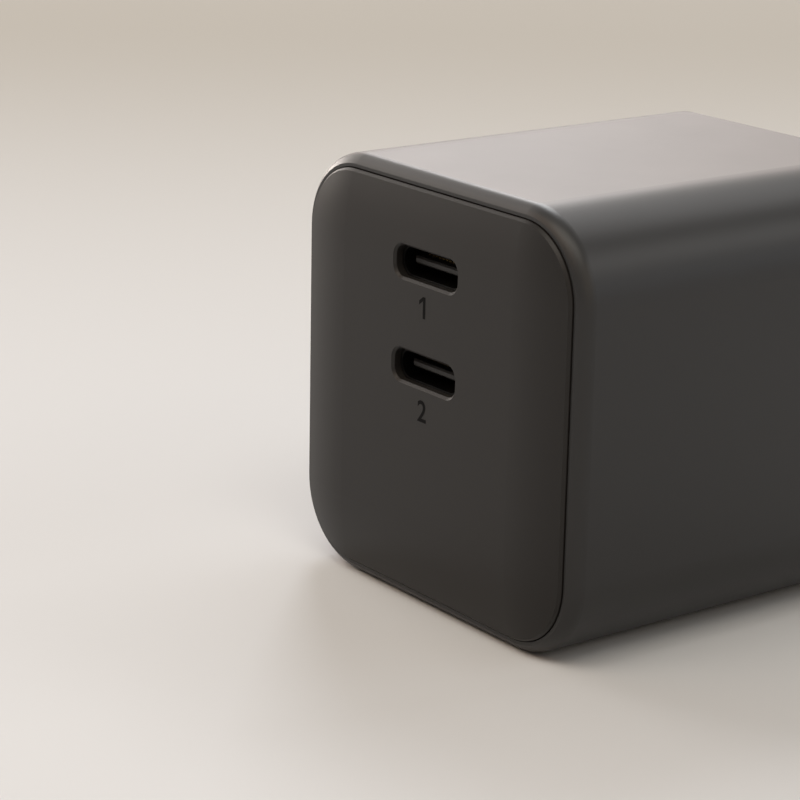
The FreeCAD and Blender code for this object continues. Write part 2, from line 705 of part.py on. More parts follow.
def choke_windings():
    """Two windings, one on each upright leg of the choke core."""
    low = BOARD_TOP_Z + CHOKE_LEG
    high = BOARD_TOP_Z + CHOKE_HEIGHT - CHOKE_LEG - WINDING_PLAY
    reach = CHOKE_WIDTH / 2 - CHOKE_LEG / 2
    windings = []
    for x in (CHOKE_X - reach, CHOKE_X + reach):
        wrap = leg_block(x, WINDING_PLAY + WIRE_BUILD, low, high)
        windings.append(one_solid(wrap.cut(leg_block(x, WINDING_PLAY, low, high))))
    return Part.makeCompound(windings)


def board_chip(x, y, size):
    """Flat chip under the main board."""
    half = size / 2
    return box(x - half, x + half, y - half, y + half, CHIP_Z, BOARD_Z)


def thermal_pad():
    """Soft pad between the chips and the heat spreader."""
    half = PAD_LENGTH / 2
    y = (PORT_CARD_BACK_Y + INPUT_CARD_Y) / 2
    return box(-PAD_HALF_WIDTH, PAD_HALF_WIDTH, y - half, y + half, PAD_Z, CHIP_Z)


def heat_spreader():
    """Metal sheet on the floor of the housing."""
    half = SPREADER_LENGTH / 2
    y = (PORT_CARD_BACK_Y + INPUT_CARD_Y) / 2
    return box(-SPREADER_HALF_WIDTH, SPREADER_HALF_WIDTH, y - half, y + half, WALL, PAD_Z)


def core_half(plate_z, leg_z, split_z):
    """Core half with a plate, two outer legs and a middle post up to the split."""
    half_w = CORE_WIDTH / 2
    half_post = CORE_POST_WIDTH / 2
    y0 = TRANSFORMER_Y - CORE_DEPTH / 2
    y1 = TRANSFORMER_Y + CORE_DEPTH / 2
    low_leg, high_leg = sorted((leg_z, split_z))
    low_plate, high_plate = sorted((plate_z, leg_z))
    plate = box(-half_w, half_w, y0, y1, low_plate, high_plate)
    left = box(-half_w, CORE_LEG - half_w, y0, y1, low_leg, high_leg)
    right = box(half_w - CORE_LEG, half_w, y0, y1, low_leg, high_leg)
    post = box(-half_post, half_post, y0, y1, low_leg, high_leg)
    return one_solid(plate.fuse([left, right, post]))


def transformer_core(upper):
    """Lower or upper core half."""
    split_z = BOBBIN_Z + CORE_WINDOW / 2
    top_z = BOBBIN_Z + CORE_WINDOW
    if upper:
        return core_half(top_z + CORE_PLATE, top_z, split_z)
    return core_half(CORE_Z, BOBBIN_Z, split_z)


def post_sleeve(grow, z0, z1):
    """Block round the core's middle post, grown on all four sides."""
    half_x = CORE_POST_WIDTH / 2 + grow
    half_y = CORE_DEPTH / 2 + grow
    return box(-half_x, half_x, TRANSFORMER_Y - half_y, TRANSFORMER_Y + half_y, z0, z1)


def transformer_bobbin():
    """Square tube with two flanges, and two rails with pins that stand on the main board."""
    half_x = CORE_WIDTH / 2 - CORE_LEG - BOBBIN_PLAY
    half_y = BOBBIN_DEPTH / 2
    y0 = TRANSFORMER_Y - half_y
    y1 = TRANSFORMER_Y + half_y
    shape = post_sleeve(BOBBIN_PLAY + BOBBIN_WALL, BOBBIN_Z, BOBBIN_TOP_Z)
    parts = [
        box(-half_x, half_x, y0, y1, BOBBIN_Z, BOBBIN_Z + BOBBIN_WALL),
        box(-half_x, half_x, y0, y1, BOBBIN_TOP_Z - BOBBIN_WALL, BOBBIN_TOP_Z),
        box(-half_x, half_x, y0, y0 + BOBBIN_RAIL, BOARD_TOP_Z, BOBBIN_Z + BOBBIN_WALL),
        box(-half_x, half_x, y1 - BOBBIN_RAIL, y1, BOARD_TOP_Z, BOBBIN_Z + BOBBIN_WALL),
    ]
    for x, y in bobbin_pin_spots():
        parts.append(board_lead(x, y, BOARD_TOP_Z))
    shape = shape.fuse(parts)
    return one_solid(shape.cut(post_sleeve(BOBBIN_PLAY, BOBBIN_Z, BOBBIN_TOP_Z)))


def transformer_winding():
    """Wound coil on the bobbin, between its flanges, round at its corners."""
    inner = BOBBIN_PLAY + BOBBIN_WALL + WINDING_PLAY
    low = BOBBIN_Z + BOBBIN_WALL
    high = BOBBIN_TOP_Z - BOBBIN_WALL - WINDING_PLAY
    coil = post_sleeve(inner + WINDING_BUILD, low, high)
    upright = [edge for edge in coil.Edges if edge.BoundBox.ZLength > 1.0]
    coil = coil.makeFillet(WINDING_CORNER, upright)
    return one_solid(coil.cut(post_sleeve(inner, low, high)))


def output_capacitor(side):
    """Standing can on the main board, behind the port board."""
    x = output_x(side)
    top = BOARD_TOP_Z + OUTPUT_HEIGHT
    can = rod(OUTPUT_RADIUS, vec(x, OUTPUT_Y, BOARD_TOP_Z), vec(x, OUTPUT_Y, top))
    leads = [board_lead(lead_x, OUTPUT_Y, BOARD_TOP_Z) for lead_x in lead_pair(OUTPUT_LEAD_PITCH, x)]
    return one_solid(can.fuse(leads))


def optocoupler():
    """Signal coupler that bridges the two sides."""
    x0 = OPTO_X - OPTO_WIDTH / 2
    y0 = OUTPUT_Y - OPTO_DEPTH / 2
    return box(x0, x0 + OPTO_WIDTH, y0, y0 + OPTO_DEPTH, BOARD_TOP_Z, BOARD_TOP_Z + OPTO_HEIGHT)


def y_capacitor():
    """Moulded safety capacitor between the two sides."""
    half_w = SAFETY_WIDTH / 2
    half_d = SAFETY_DEPTH / 2
    x0 = SAFETY_X - half_w
    top = BOARD_TOP_Z + SAFETY_HEIGHT
    body = box(x0, x0 + SAFETY_WIDTH, OUTPUT_Y - half_d, OUTPUT_Y + half_d, BOARD_TOP_Z, top)
    leads = [board_lead(lead_x, OUTPUT_Y, BOARD_TOP_Z) for lead_x in lead_pair(SAFETY_LEAD_PITCH, SAFETY_X)]
    return one_solid(body.fuse(leads))


def barrier_sheet():
    """Thin sheet that stands between the output side and the mains side."""
    top = BOARD_TOP_Z + BARRIER_HEIGHT
    return box(-CARD_HALF_WIDTH, CARD_HALF_WIDTH, BARRIER_Y, BARRIER_Y + BARRIER_THICK, BOARD_TOP_Z, top)


def inductor(side):
    """Moulded inductor on the front of the port board, below the ports."""
    half = INDUCTOR_SIZE / 2
    x = side * INDUCTOR_SPREAD / 2
    z = PORT_2_Z - INDUCTOR_DROP
    body = box(x - half, x + half, PORT_CARD_Y - INDUCTOR_THICK, PORT_CARD_Y, z - half, z + half)
    return body.makeChamfer(INDUCTOR_CHAMFER, edges_along_y(body))


def charge_controller():
    """Flat chip on the front of the port board, under the lower port."""
    half = CONTROLLER_SIZE / 2
    z = PORT_2_Z - CONTROLLER_DROP
    return box(-half, half, PORT_CARD_Y - CONTROLLER_THICK, PORT_CARD_Y, z - half, z + half)


def all_pieces():
    """Every piece of the adapter by its name."""
    pieces = {}
    pieces["housing"] = housing()
    pieces["front_panel"] = front_panel()
    for number, z in ((1, PORT_1_Z), (2, PORT_2_Z)):
        pieces[f"port_{number}_shell"] = port_shell(z)
        pieces[f"port_{number}_tongue"] = port_tongue(z)
        pieces[f"port_{number}_contacts"] = port_contacts(z)
    for name, side in (("left", -1), ("right", 1)):
        pieces[f"plug_pin_{name}"] = plug_pin(side)
        pieces[f"pin_sleeve_{name}"] = pin_sleeve(side)
    pieces["pin_carrier"] = pin_carrier()
    pieces["input_board"] = input_board()
    pieces["main_board"] = main_board()
    pieces["port_board"] = port_board()
    for number, side in ((1, -1), (2, 1)):
        pieces[f"bulk_capacitor_{number}"] = bulk_capacitor(side)
        pieces[f"output_capacitor_{number}"] = output_capacitor(side)
        pieces[f"inductor_{number}"] = inductor(side)
    pieces["fuse"] = fuse()
    pieces["x_capacitor"] = x_capacitor()
    pieces["y_capacitor"] = y_capacitor()
    pieces["choke_core"] = choke_core()
    pieces["choke_windings"] = choke_windings()
    pieces["transformer_core_lower"] = transformer_core(False)
    pieces["transformer_core_upper"] = transformer_core(True)
    pieces["transformer_bobbin"] = transformer_bobbin()
    pieces["transformer_winding"] = transformer_winding()
    pieces["bridge_rectifier"] = board_chip(BRIDGE_OFFSET, FILTER_Y, BRIDGE_SIZE)
    pieces["primary_switch"] = board_chip(0.0, TRANSFORMER_Y, SWITCH_SIZE)
    pieces["sync_rectifier"] = board_chip(OPTO_X, OUTPUT_Y, RECTIFIER_SIZE)
    pieces["thermal_pad"] = thermal_pad()
    pieces["heat_spreader"] = heat_spreader()
    pieces["optocoupler"] = optocoupler()
    pieces["barrier_sheet"] = barrier_sheet()
    pieces["charge_controller"] = charge_controller()
    return pieces


def main():
    """Build all pieces, move them to the shared origin and write one file for each."""
    os.makedirs("parts", exist_ok=True)
    for name, shape in all_pieces().items():
        shape.translate(vec(0, -BODY_DEPTH / 2, 0))
        shape.exportStep(f"parts/{name}.step")


main()
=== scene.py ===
"""Looks of a two-port mains power adapter: finishes, port numerals, floor, light and camera.

Lengths are in metres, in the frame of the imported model: +Z is up, the ports face -Y and the pins
point to +Y.
"""
import json
import logging
import math
from dataclasses import dataclass, field
from enum import Enum

import bmesh
import bpy
from mathutils import Matrix, Vector

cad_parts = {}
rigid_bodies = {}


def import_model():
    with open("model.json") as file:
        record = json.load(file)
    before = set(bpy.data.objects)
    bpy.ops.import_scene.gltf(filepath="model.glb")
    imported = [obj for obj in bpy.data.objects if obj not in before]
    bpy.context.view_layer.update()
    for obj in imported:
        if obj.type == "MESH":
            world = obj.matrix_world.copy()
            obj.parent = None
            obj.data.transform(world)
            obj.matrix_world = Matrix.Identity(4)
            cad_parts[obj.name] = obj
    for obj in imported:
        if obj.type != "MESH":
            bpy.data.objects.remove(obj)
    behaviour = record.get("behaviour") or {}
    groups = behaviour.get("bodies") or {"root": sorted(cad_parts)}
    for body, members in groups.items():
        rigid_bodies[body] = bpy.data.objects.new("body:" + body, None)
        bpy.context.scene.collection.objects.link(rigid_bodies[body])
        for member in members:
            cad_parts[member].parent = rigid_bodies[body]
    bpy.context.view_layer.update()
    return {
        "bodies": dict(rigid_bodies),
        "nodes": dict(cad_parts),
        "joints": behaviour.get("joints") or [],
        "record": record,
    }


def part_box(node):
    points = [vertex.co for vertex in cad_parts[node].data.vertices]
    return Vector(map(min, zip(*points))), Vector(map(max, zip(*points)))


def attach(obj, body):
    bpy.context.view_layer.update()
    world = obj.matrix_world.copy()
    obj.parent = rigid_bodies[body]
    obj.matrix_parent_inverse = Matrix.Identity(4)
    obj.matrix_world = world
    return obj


LOG = logging.getLogger("power_adapter")
BODY = "root"

Colour = tuple[float, float, float]
Triple = tuple[float, float, float]

# Degrees from one axis to the next.
QUARTER_TURN = 90.0

# Half of a unit square's side, which is the size that Blender's grid asks for.
UNIT_HALF = 0.5

# Factor on a drawn finish's coordinate along its axis, which draws the pattern out into lines.
LINE_FACTOR = 0.04

# Length over which Blender's wave texture repeats at a scale of 1.
WAVE_REPEAT = 2.0 * math.pi / 20.0

# Sockets of the Mix node in its colour mode. Its other modes have sockets of the same names.
MIX_LOW = 6
MIX_HIGH = 7
MIX_RESULT = 2


def bearing(azimuth: float, elevation: float) -> Vector:
    """Find the direction from the adapter to a place around it.

    Args:
        azimuth: Bearing in degrees, 0 in front of the ports and 90 on the right.
        elevation: Height above the floor in degrees.

    Returns:
        The direction, of length 1.
    """
    turn = math.radians(azimuth)
    lift = math.radians(elevation)
    level = math.cos(lift)
    return Vector((math.sin(turn) * level, -math.cos(turn) * level, math.sin(lift)))


class Axis(Enum):
    """Direction in which a drawn or turned finish runs."""

    X = (LINE_FACTOR, 1.0, 1.0)
    Y = (1.0, LINE_FACTOR, 1.0)
    Z = (1.0, 1.0, LINE_FACTOR)


class Numeral(Enum):
    """Plain number printed under a port."""

    UPPER = "1"
    LOWER = "2"


@dataclass
class NodeSheet:
    """A node tree with short calls to add nodes and join them."""

    tree: bpy.types.NodeTree

    def add(self, kind: str, **inputs: object) -> bpy.types.Node:
        """Add one node.

        Args:
            kind: Blender's name of the node type.
            inputs: Values for its sockets, by socket name with _ for a space.

        Returns:
            The new node.
        """
        node = self.tree.nodes.new(kind)
        for name, value in inputs.items():
            node.inputs[name.replace("_", " ")].default_value = value
        return node

    def join(self, source: bpy.types.NodeSocket, target: bpy.types.NodeSocket) -> None:
        """Link an output to an input."""
        self.tree.links.new(source, target)

    def group(self, tree: bpy.types.NodeTree) -> bpy.types.Node:
        """Add a shared node group.

        Args:
            tree: The group.

        Returns:
            The new node.
        """
        node = self.add("ShaderNodeGroup")
        node.node_tree = tree
        return node

    def maths(
        self, operation: str, first: bpy.types.NodeSocket, second: bpy.types.NodeSocket | float
    ) -> bpy.types.NodeSocket:
        """Combine a socket with another socket or a constant.

        Args:
            operation: Blender's name of the operation.
            first: Output that is the first operand.
            second: Output or constant that is the second operand.

        Returns:
            The result's socket.
        """
        node = self.add("ShaderNodeMath")
        node.operation = operation
        self.join(first, node.inputs[0])
        if isinstance(second, bpy.types.NodeSocket):
            self.join(second, node.inputs[1])
        else:
            node.inputs[1].default_value = second
        return node.outputs[0]

    def spread(self, value: bpy.types.NodeSocket, low: float, high: float) -> bpy.types.NodeSocket:
        """Spread a mask between two values.

        Args:
            value: Mask from 0 to 1.
            low: Result at 0.
            high: Result at 1.

        Returns:
            The result's socket.
        """
        node = self.add("ShaderNodeMapRange", To_Min=low, To_Max=high)
        self.join(value, node.inputs["Value"])
        return node.outputs["Result"]

    def blend(self, mask: bpy.types.NodeSocket, low: Colour, high: Colour) -> bpy.types.NodeSocket:
        """Blend two colours by a mask.

        Args:
            mask: Mask from 0 to 1.
            low: Colour at 0.
            high: Colour at 1.

        Returns:
            The colour's socket.
        """
        node = self.add("ShaderNodeMix")
        node.data_type = "RGBA"
        self.join(mask, node.inputs["Factor"])
        node.inputs[MIX_LOW].default_value = (*low, 1.0)
        node.inputs[MIX_HIGH].default_value = (*high, 1.0)
        return node.outputs[MIX_RESULT]


class Effects:
    """Shared surface effects, each built once as a shader node group."""

    def __init__(self) -> None:
        """Build every group."""
        self.grain = self.make_grain()
        self.lines = self.make_lines()
        self.tracks = self.make_tracks()
        self.turns = self.make_turns()

    @staticmethod
    def new_group(name: str, inputs: dict[str, float], outputs: list[str]) -> NodeSheet:
        """Start a group with its sockets.

        Args:
            name: Name of the group.
            inputs: Default values of its number inputs, by name.
            outputs: Names of its number outputs.

        Returns:
            The group's node sheet, with its input and output nodes in place.
        """
        tree = bpy.data.node_groups.new(name, "ShaderNodeTree")
        for label, value in inputs.items():
            socket = tree.interface.new_socket(
                name=label, in_out="INPUT", socket_type="NodeSocketFloat"
            )
            socket.default_value = value
        for label in outputs:
            tree.interface.new_socket(name=label, in_out="OUTPUT", socket_type="NodeSocketFloat")
        tree.nodes.new("NodeGroupInput")
        tree.nodes.new("NodeGroupOutput")
        return NodeSheet(tree)

    @staticmethod
    def ends(sheet: NodeSheet) -> tuple[bpy.types.Node, bpy.types.Node]:
        """Return a group's input and output nodes."""
        nodes = sheet.tree.nodes
        return nodes["Group Input"], nodes["Group Output"]

    def make_grain(self) -> bpy.types.NodeTree:
        """Moulded grain: fine pits for the bump and slow clouds for tone.

        Returns:
            A group with Height and Tone.
        """
        sheet = self.new_group(
            "moulded_grain", {"Pits": 6000.0, "Clouds": 90.0}, ["Height", "Tone"]
        )
        start, end = self.ends(sheet)
        place = sheet.add("ShaderNodeTexCoord")
        for scale, output, detail in (("Pits", "Height", 2.0), ("Clouds", "Tone", 4.0)):
            noise = sheet.add("ShaderNodeTexNoise", Detail=detail, Roughness=0.55)
            sheet.join(place.outputs["Object"], noise.inputs["Vector"])
            sheet.join(start.outputs[scale], noise.inputs["Scale"])
            sheet.join(noise.outputs["Fac"], end.inputs[output])
        return sheet.tree

    def make_lines(self) -> bpy.types.NodeTree:
        """Drawn lines: noise stretched along one axis.

        Returns:
            A group with Height and Tone, which takes a factor for each axis.
        """
        sheet = self.new_group(
            "drawn_lines",
            {"Density": 9000.0, "Along X": 1.0, "Along Y": 1.0, "Along Z": 1.0},
            ["Height", "Tone"],
        )
        start, end = self.ends(sheet)
        place = sheet.add("ShaderNodeTexCoord")
        stretch = sheet.add("ShaderNodeCombineXYZ")
        scaled = sheet.add("ShaderNodeVectorMath")
        scaled.operation = "MULTIPLY"
        for letter in "XYZ":
            sheet.join(start.outputs[f"Along {letter}"], stretch.inputs[letter])
        sheet.join(place.outputs["Object"], scaled.inputs[0])
        sheet.join(stretch.outputs["Vector"], scaled.inputs[1])
        fine = sheet.add("ShaderNodeTexNoise", Detail=3.0, Roughness=0.6)
        broad = sheet.add("ShaderNodeTexNoise", Scale=300.0, Detail=2.0)
        sheet.join(scaled.outputs["Vector"], fine.inputs["Vector"])
        sheet.join(start.outputs["Density"], fine.inputs["Scale"])
        sheet.join(scaled.outputs["Vector"], broad.inputs["Vector"])
        sheet.join(fine.outputs["Fac"], end.inputs["Height"])
        sheet.join(broad.outputs["Fac"], end.inputs["Tone"])
        return sheet.tree

    def make_tracks(self) -> bpy.types.NodeTree:
        """Copper tracks under solder mask: a mask of blocky lanes.

        Returns:
            A group with Tracks, 1 on copper and 0 between.
        """
        sheet = self.new_group("board_tracks", {"Lanes": 420.0, "Cover": 0.5}, ["Tracks"])
        start, end = self.ends(sheet)
        place = sheet.add("ShaderNodeTexCoord")
        cells = sheet.add("ShaderNodeTexVoronoi", Randomness=0.75)
        cells.distance = "CHEBYCHEV"
        sheet.join(place.outputs["Object"], cells.inputs["Vector"])
        sheet.join(start.outputs["Lanes"], cells.inputs["Scale"])
        tracks = sheet.maths("LESS_THAN", cells.outputs["Distance"], start.outputs["Cover"])
        sheet.join(tracks, end.inputs["Tracks"])
        return sheet.tree

    def make_turns(self) -> bpy.types.NodeTree:
        """Turns of wire: bands stacked along Z.

        Returns:
            A group with Turns, 1 on the crown of a turn and 0 between two turns, where shade is
            painted.
        """
        sheet = self.new_group("wire_turns", {"Turns per metre": 2500.0}, ["Turns"])
        start, end = self.ends(sheet)
        place = sheet.add("ShaderNodeTexCoord")
        bands = sheet.add("ShaderNodeTexWave", Distortion=0.6, Detail=1.0)
        bands.wave_type = "BANDS"
        bands.bands_direction = "Z"
        bands.wave_profile = "SIN"
        sheet.join(place.outputs["Object"], bands.inputs["Vector"])
        density = sheet.maths("MULTIPLY", start.outputs["Turns per metre"], WAVE_REPEAT)
        sheet.join(density, bands.inputs["Scale"])
        sheet.join(bands.outputs["Fac"], end.inputs["Turns"])
        return sheet.tree


@dataclass(frozen=True)
class Finish:
    """A surface finish with a colour that drifts a little and a bump.

    Attributes:
        name: Name of the material.
        colour: Base colour in linear light.
        roughness: Middle of the roughness range.
        drift: Share by which colour and roughness drift over the surface.
        bump: Height of the bump in metres.
    """

    name: str
    colour: Colour
    roughness: float
    drift: float = 0.06
    bump: float = 2.0e-6

    def shade(self, factor: float) -> Colour:
        """Return the base colour made lighter or darker by a factor."""
        red, green, blue = (min(1.0, part * factor) for part in self.colour)
        return red, green, blue

    def start(self) -> tuple[bpy.types.Material, NodeSheet, bpy.types.Node]:
        """Start a node material.

        Returns:
            The material, its node sheet and its Principled shader.
        """
        material = bpy.data.materials.new(self.name)
        material.use_nodes = True
        material.diffuse_color = (*self.colour, 1.0)
        sheet = NodeSheet(material.node_tree)
        return material, sheet, material.node_tree.nodes["Principled BSDF"]

    def dress_tone(
        self, sheet: NodeSheet, shader: bpy.types.Node, tone: bpy.types.NodeSocket
    ) -> None:
        """Let a mask drive colour and roughness.

        Args:
            sheet: The material's node sheet.
            shader: The material's Principled shader.
            tone: Mask from 0 to 1.
        """
        colour = sheet.blend(tone, self.shade(1.0 - self.drift), self.shade(1.0 + self.drift))
        sheet.join(colour, shader.inputs["Base Color"])
        low = self.roughness * (1.0 - self.drift)
        high = self.roughness * (1.0 + self.drift)
        sheet.join(sheet.spread(tone, low, high), shader.inputs["Roughness"])

    def dress_bump(
        self, sheet: NodeSheet, shader: bpy.types.Node, height: bpy.types.NodeSocket
    ) -> None:
        """Let a mask drive the bump.

        Args:
            sheet: The material's node sheet.
            shader: The material's Principled shader.
            height: Mask from 0 to 1.
        """
        bump = sheet.add("ShaderNodeBump", Strength=1.0, Distance=self.bump)
        sheet.join(height, bump.inputs["Height"])
        sheet.join(bump.outputs["Normal"], shader.inputs["Normal"])

    def material(self, effects: Effects) -> bpy.types.Material:
        """Build the material from the shared effect groups, as each kind of finish does."""
        raise NotImplementedError


@dataclass(frozen=True)
class Moulded(Finish):
    """Moulded plastic, epoxy or rubber with a fine pitted grain.

    Attributes:
        pits: Density of the pits per metre.
        level: Specular level of the shader.
    """

    pits: float = 6000.0
    level: float = 0.5

    def material(self, effects: Effects) -> bpy.types.Material:
        """Build the material.

        Args:
            effects: Shared effect groups.

        Returns:
            The finished material.
        """
        material, sheet, shader = self.start()
        shader.inputs["Specular IOR Level"].default_value = self.level
        grain = sheet.group(effects.grain)
        grain.inputs["Pits"].default_value = self.pits
        self.dress_tone(sheet, shader, grain.outputs["Tone"])
        self.dress_bump(sheet, shader, grain.outputs["Height"])
        return material


@dataclass(frozen=True)
class Metal(Finish):
    """Bare or plated metal with lines along the direction in which it was drawn or turned.

    Attributes:
        along: Direction of the lines.
        density: Density of the lines per metre.
    """

    along: Axis = Axis.Y
    density: float = 9000.0

    def material(self, effects: Effects) -> bpy.types.Material:
        """Build the material.

        Args:
            effects: Shared effect groups.

        Returns:
            The finished material.
        """
        material, sheet, shader = self.start()
        shader.inputs["Metallic"].default_value = 1.0
        lines = sheet.group(effects.lines)
        lines.inputs["Density"].default_value = self.density
        for letter, value in zip("XYZ", self.along.value):
            lines.inputs[f"Along {letter}"].default_value = value
        self.dress_tone(sheet, shader, lines.outputs["Tone"])
        self.dress_bump(sheet, shader, lines.outputs["Height"])
        return material


@dataclass(frozen=True)
class SolderMask(Finish):
    """Circuit board with copper tracks that show through the solder mask.

    Attributes:
        track: Colour over copper.
    """

    track: Colour = (0.05, 0.20, 0.09)

    def material(self, effects: Effects) -> bpy.types.Material:
        """Build the material.

        Args:
            effects: Shared effect groups.

        Returns:
            The finished material.
        """
        material, sheet, shader = self.start()
        shader.inputs["Roughness"].default_value = self.roughness
        tracks = sheet.group(effects.tracks)
        mask = tracks.outputs["Tracks"]
        sheet.join(sheet.blend(mask, self.colour, self.track), shader.inputs["Base Color"])
        self.dress_bump(sheet, shader, mask)
        return material


@dataclass(frozen=True)
class Wound(Finish):
    """Enamelled wire or tape in turns.

    Attributes:
        groove_shade: Colour between two turns, a painted shade in the groove.
        metallic: Metallic value of the wire.
        turns: Turns per metre of height.
    """

    groove_shade: Colour = (0.15, 0.06, 0.03)
    metallic: float = 1.0
    turns: float = 2500.0

    def material(self, effects: Effects) -> bpy.types.Material:
        """Build the material.

        Args:
            effects: Shared effect groups.

        Returns:
            The finished material.
        """
        material, sheet, shader = self.start()
        shader.inputs["Metallic"].default_value = self.metallic
        shader.inputs["Roughness"].default_value = self.roughness
        turns = sheet.group(effects.turns)
        turns.inputs["Turns per metre"].default_value = self.turns
        mask = turns.outputs["Turns"]
        # Painted shade: darker colour between the turns, where the groove is shaded.
        sheet.join(sheet.blend(mask, self.groove_shade, self.colour), shader.inputs["Base Color"])
        self.dress_bump(sheet, shader, mask)
        return material


HOUSING_PLASTIC = Moulded("housing_plastic", (0.0180, 0.0176, 0.0176), 0.40, level=0.42)
PANEL_PLASTIC = Moulded("panel_plastic", (0.0165, 0.0150, 0.0138), 0.40, level=0.26)
TONGUE_PLASTIC = Moulded("tongue_plastic", (0.017, 0.016, 0.015), 0.45, level=0.3)
SLEEVE_PLASTIC = Moulded("sleeve_plastic", (0.018, 0.018, 0.018), 0.32, pits=9000.0)
CARRIER_PLASTIC = Moulded("carrier_plastic", (0.045, 0.045, 0.045), 0.5)
EPOXY = Moulded("moulded_part", (0.018, 0.018, 0.019), 0.55, pits=12000.0)
CAN_SLEEVE = Moulded("can_sleeve", (0.035, 0.035, 0.050), 0.25, pits=3000.0)
FILM_CASE = Moulded("film_case", (0.62, 0.46, 0.06), 0.35)
SAFETY_CASE = Moulded("safety_case", (0.04, 0.16, 0.42), 0.35)
FERRITE = Moulded("ferrite", (0.045, 0.046, 0.050), 0.6, pits=4000.0, bump=6.0e-6)
SOFT_PAD = Moulded("soft_pad", (0.38, 0.38, 0.43), 0.8, pits=2500.0)
BARRIER_FILM = Moulded("barrier_film", (0.70, 0.66, 0.52), 0.3, pits=1500.0)
PRINT_INK = Moulded("print_ink", (0.0028, 0.0027, 0.0026), 0.5, level=0.05)
PORT_STEEL = Metal("port_steel", (0.032, 0.031, 0.030), 0.38, along=Axis.Y)
CONTACT_GOLD = Metal("contact_gold", (0.80, 0.56, 0.22), 0.28, along=Axis.Y)
PIN_METAL = Metal("pin_metal", (0.70, 0.68, 0.63), 0.24, along=Axis.X, density=14000.0)
CAN_METAL = Metal("can_metal", (0.78, 0.78, 0.79), 0.30, along=Axis.Z)
SPREADER_METAL = Metal("spreader_metal", (0.82, 0.82, 0.82), 0.34, along=Axis.Y)
BOARD_MASK = SolderMask("circuit_board", (0.020, 0.095, 0.045), 0.38, bump=1.5e-5)
# The wire and the tape get painted shade between their turns.
COPPER_WIRE = Wound("copper_wire", (0.72, 0.30, 0.12), 0.28, bump=6.0e-5)
WINDING_TAPE = Wound(
    "winding_tape", (0.72, 0.52, 0.06), 0.32, groove_shade=(0.58, 0.40, 0.05), metallic=0.0, turns=400.0
)


@dataclass
class Assembly:
    """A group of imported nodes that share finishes.

    Attributes:
        frame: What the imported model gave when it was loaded.
        finishes: Finish of each node, by node name.
    """

    frame: dict
    finishes: dict[str, Finish] = field(default_factory=dict)

    def dress(self, effects: Effects, made: dict[str, bpy.types.Material]) -> None:
        """Give each node its material and report it.

        Args:
            effects: Shared effect groups.
            made: Materials made so far, by name, which this call adds to.
        """
        for node, finish in self.finishes.items():
            if finish.name not in made:
                made[finish.name] = finish.material(effects)
            mesh = self.frame["nodes"][node].data
            mesh.materials.clear()
            mesh.materials.append(made[finish.name])
            LOG.info("%s wears %s", node, finish.name)


@dataclass
class Casing(Assembly):
    """Housing and front panel, with the numerals printed under the ports.

    Attributes:
        numeral_height: Height of a printed numeral.
        font_share: Share of the font's size that a numeral fills in height.
        numeral_drop: Distance from a port's middle down to the middle of its numeral.
        numeral_spread: Width that the ink adds on each side of a stroke.
        flag_width: Width of the flag on a printed 1.
        flag_drop: Height that the flag falls over its width.
        flag_stroke: Upright thickness of the flag.
        ink_lift: Height of the ink above the panel.
    """

    numeral_height: float = 0.00195
    font_share: float = 0.7
    numeral_drop: float = 0.0037
    numeral_spread: float = 0.00004
    flag_width: float = 0.00055
    flag_drop: float = 0.00042
    flag_stroke: float = 0.00039
    ink_lift: float = 0.000012
    finishes: dict[str, Finish] = field(
        default_factory=lambda: {"housing": HOUSING_PLASTIC, "front_panel": PANEL_PLASTIC}
    )

    def add_flag(self, shape: bmesh.types.BMesh) -> None:
        """Give the bare stroke of a 1 its slanted flag.

        Args:
            shape: The stroke, which this call adds to.
        """
        left = min(vert.co.x for vert in shape.verts)
        top = max(vert.co.y for vert in shape.verts)
        flag = bmesh.ops.create_grid(shape, x_segments=1, y_segments=1, size=UNIT_HALF)["verts"]
        slant = Matrix.Diagonal((self.flag_width, self.flag_stroke, 1.0, 1.0))
        slant[1][0] = self.flag_drop
        middle = (left - self.flag_width / 2, top - (self.flag_stroke + self.flag_drop) / 2, 0.0)
        bmesh.ops.transform(shape, matrix=Matrix.Translation(middle) @ slant, verts=flag)

    def glyph(self, number: Numeral) -> bpy.types.Mesh:
        """Draw one numeral flat about the origin.

        Args:
            number: Which numeral.

        Returns:
            The numeral's mesh.
        """
        curve = bpy.data.curves.new(f"numeral_{number.value}", "FONT")
        curve.body = number.value
        curve.align_x = "CENTER"
        curve.align_y = "CENTER"
        curve.size = self.numeral_height / self.font_share
        curve.offset = self.numeral_spread
        text = bpy.data.objects.new("numeral_outline", curve)
        mesh = bpy.data.meshes.new_from_object(text)
        bpy.data.objects.remove(text)
        if number is Numeral.UPPER:
            shape = bmesh.new()
            shape.from_mesh(mesh)
            self.add_flag(shape)
            shape.to_mesh(mesh)
            shape.free()
        return mesh

    def numeral(self, number: Numeral, shell: str) -> bpy.types.Object:
        """Print one numeral under a port.

        Args:
            number: Which numeral.
            shell: Node of the port's shell, which gives the place.

        Returns:
            The printed piece, in place.
        """
        low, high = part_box(shell)
        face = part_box("front_panel")[0].y
        height = (low.z + high.z) / 2 - self.numeral_drop
        upright = Matrix.Rotation(math.radians(QUARTER_TURN), 4, "X")
        mesh = self.glyph(number)
        mesh.transform(Matrix.Translation((0.0, face - self.ink_lift, height)) @ upright)
        piece = bpy.data.objects.new(f"printed_numeral_{number.value}", mesh)
        bpy.context.scene.collection.objects.link(piece)
        return piece

    def print_numerals(self, effects: Effects) -> None:
        """Print both numerals and let them ride on the adapter.

        Args:
            effects: Shared effect groups.
        """
        ink = PRINT_INK.material(effects)
        for number, shell in ((Numeral.UPPER, "port_1_shell"), (Numeral.LOWER, "port_2_shell")):
            piece = self.numeral(number, shell)
            piece.data.materials.append(ink)
            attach(piece, BODY)
            LOG.info("%s printed", piece.name)


